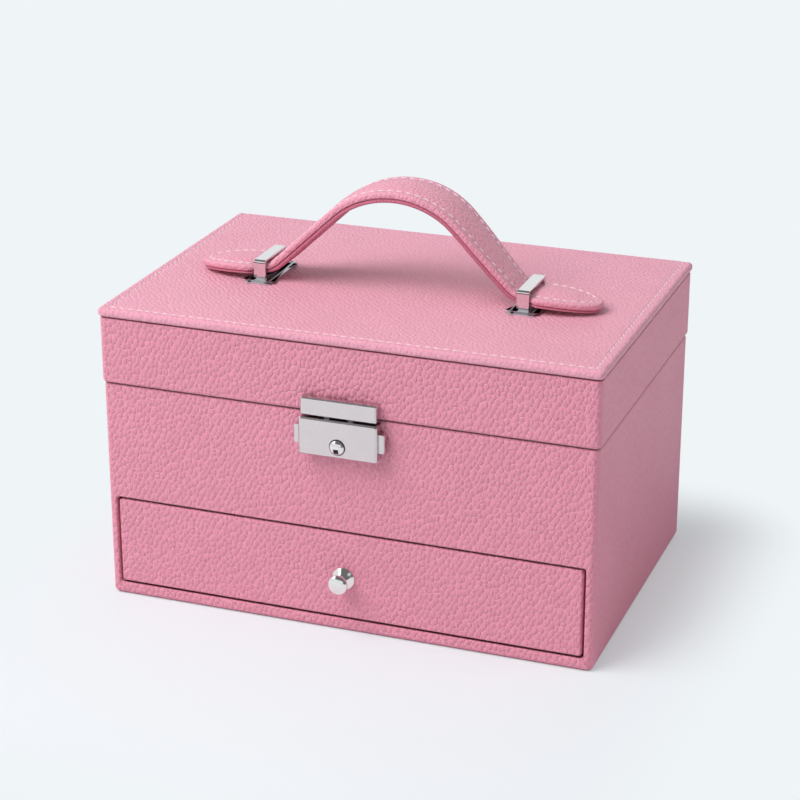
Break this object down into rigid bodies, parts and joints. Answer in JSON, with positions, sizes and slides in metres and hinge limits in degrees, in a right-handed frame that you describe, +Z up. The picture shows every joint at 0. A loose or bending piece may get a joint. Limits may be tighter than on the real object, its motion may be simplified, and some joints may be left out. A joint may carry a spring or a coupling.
{
  "type": "makeup train case",
  "caption": "Small leather-covered vanity case with a hinged mirror lid, bowed strap handle, front drawer with knob and a spring-tab lock.",
  "frame": {"origin": "middle of the underside that the case stands on", "axes": "+X to the right along the width, front with drawer and lock faces -Y, +Z up"},
  "size_m": [0.2424, 0.1756, 0.1965],
  "materials": {
    "pink_leather": "pebble-grain pink synthetic leather, soft sheen",
    "panel_leather": "finer grained pink synthetic leather over thin padding, pale stitching",
    "strap_leather": "padded pink synthetic leather with pale stitching",
    "base_cover": "plain pink synthetic leather sheet, flat",
    "board": "plain fibreboard",
    "lining": "short-napped pale pink lining cloth",
    "bright_chrome": "polished chrome plate",
    "lock_metal": "satin nickel plate with polished bevels",
    "hinge_steel": "nickel-plated steel",
    "inner_steel": "plain zinc-plated steel",
    "mirror": "silvered glass with a bevelled edge"
  },
  "bodies": {
    "case": {"base_cover": "base_cover", "base_board": "board", "left_side_board": "board", "right_side_board": "board", "back_board": "board", "front_board": "board", "deck_board": "board", "body_leather": "pink_leather", "well_lining": "lining", "lock_case": "lock_metal", "lock_back_plate": "inner_steel", "left_hinge_body_leaf": "hinge_steel", "right_hinge_body_leaf": "hinge_steel", "left_hinge_pin": "hinge_steel", "right_hinge_pin": "hinge_steel", "left_tab_spring": "inner_steel", "right_tab_spring": "inner_steel"},
    "lid": {"lid_left_board": "board", "lid_right_board": "board", "lid_front_board": "board", "lid_back_board": "board", "lid_top_board": "board", "lid_leather": "pink_leather", "top_panel": "panel_leather", "lid_lining": "lining", "mirror_glass": "mirror", "hasp_plate": "lock_metal", "hasp_tongue": "inner_steel", "left_keeper": "bright_chrome", "right_keeper": "bright_chrome", "left_keeper_plate": "bright_chrome", "right_keeper_plate": "bright_chrome", "left_hinge_lid_leaf": "hinge_steel", "right_hinge_lid_leaf": "hinge_steel"},
    "handle": {"handle_strap": "strap_leather", "handle_lining": "strap_leather", "handle_core": "inner_steel"},
    "drawer": {"drawer_front_board": "board", "drawer_front_leather": "pink_leather", "drawer_left_side": "board", "drawer_right_side": "board", "drawer_back": "board", "drawer_bottom": "board", "drawer_lining": "lining", "knob": "bright_chrome"},
    "left_tab": {"left_release_tab": "lock_metal"},
    "right_tab": {"right_release_tab": "lock_metal"},
    "key": {"key_cylinder": "lock_metal"}
  },
  "joints": [
    {"name": "lid_hinge", "type": "hinge", "parent": "case", "child": "lid", "pos_m": [0, 0.0833, 0.1085], "axis": [-1, 0, 0], "range_deg": [0, 100]},
    {"name": "drawer_slide", "type": "slide", "parent": "case", "child": "drawer", "axis": [0, -1, 0], "range_m": [0, 0.11]},
    {"name": "handle_press", "type": "slide", "parent": "lid", "child": "handle", "axis": [0, 0, -1], "range_m": [-0.004, 0.026], "stiffness_N_per_m": 500, "springref_m": -0.0008, "deforming": ["handle_strap", "handle_lining", "handle_core"]},
    {"name": "left_tab_press", "type": "slide", "parent": "case", "child": "left_tab", "axis": [1, 0, 0], "range_m": [0, 0.0025], "stiffness_N_per_m": 400, "deforming": ["left_tab_spring"]},
    {"name": "right_tab_press", "type": "slide", "parent": "case", "child": "right_tab", "axis": [-1, 0, 0], "range_m": [0, 0.0025], "stiffness_N_per_m": 400, "deforming": ["right_tab_spring"]},
    {"name": "key_turn", "type": "hinge", "parent": "case", "child": "key", "pos_m": [0, -0.085, 0.0951], "axis": [0, 1, 0], "range_deg": [0, 90]}
  ]
}
